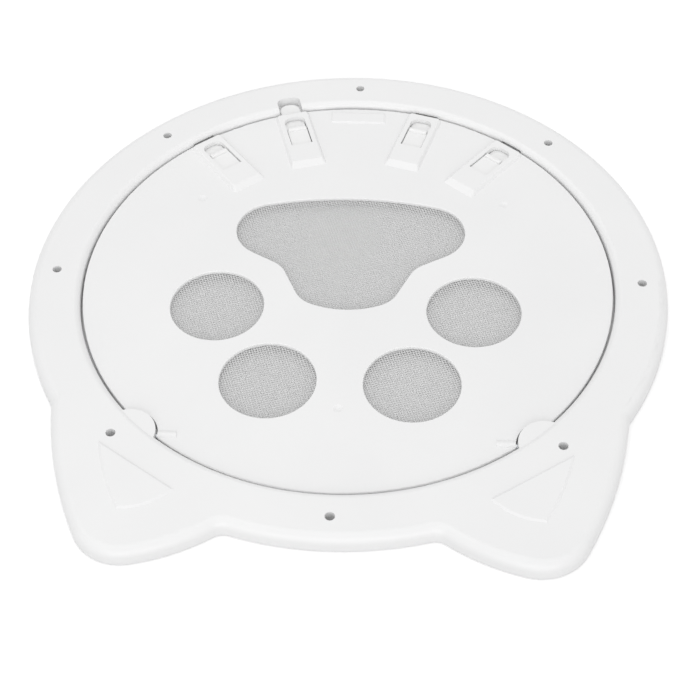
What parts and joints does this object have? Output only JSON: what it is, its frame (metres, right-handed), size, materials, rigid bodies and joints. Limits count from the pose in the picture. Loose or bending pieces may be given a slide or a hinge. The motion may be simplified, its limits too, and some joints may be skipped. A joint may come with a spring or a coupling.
{
  "type": "cat flap",
  "caption": "Round cat flap with an eared ring frame, a hinged flap with mesh windows in the form of a paw print, and slide latches along its free edge.",
  "frame": {"origin": "centre of the screw circle on the mounting plane, the back of the ring", "axes": "+Z out of the door towards the room, square to the ring; the ears and the hinge are at -Y and the latches at +Y, so -Y is up when it is fixed in a door; it lies on its back as it is pictured"},
  "size_m": [0.29, 0.2998, 0.0086],
  "materials": {
    "white_plastic": "satin moulded white",
    "mesh": "fine woven mesh",
    "steel": "plain",
    "magnet": "sintered ferrite"
  },
  "bodies": {
    "frame": {"ring_frame": "white_plastic", "frame_magnet": "magnet"},
    "flap": {"flap_front": "white_plastic", "flap_back": "white_plastic", "mesh_sheet": "mesh", "hinge_pin_left": "steel", "hinge_pin_right": "steel", "clamp_screws": "steel", "flap_magnet": "magnet"},
    "latch_1": {"latch_1": "white_plastic"},
    "latch_2": {"latch_2": "white_plastic"},
    "latch_3": {"latch_3": "white_plastic"},
    "latch_4": {"latch_4": "white_plastic"}
  },
  "joints": [
    {"name": "flap_hinge", "type": "hinge", "parent": "frame", "child": "flap", "pos_m": [0, -0.0925, 0.0035], "axis": [1, 0, 0], "range_deg": [0, 90]},
    {"name": "latch_1_slide", "type": "slide", "parent": "flap", "child": "latch_1", "axis": [-0.6293, 0.7771, 0], "range_m": [-0.0035, 0.0045]},
    {"name": "latch_2_slide", "type": "slide", "parent": "flap", "child": "latch_2", "axis": [-0.2823, 0.9593, 0], "range_m": [-0.008, 0]},
    {"name": "latch_3_slide", "type": "slide", "parent": "flap", "child": "latch_3", "axis": [0.2823, 0.9593, 0], "range_m": [-0.0035, 0.0045]},
    {"name": "latch_4_slide", "type": "slide", "parent": "flap", "child": "latch_4", "axis": [0.6293, 0.7771, 0], "range_m": [-0.0035, 0.0045]}
  ]
}
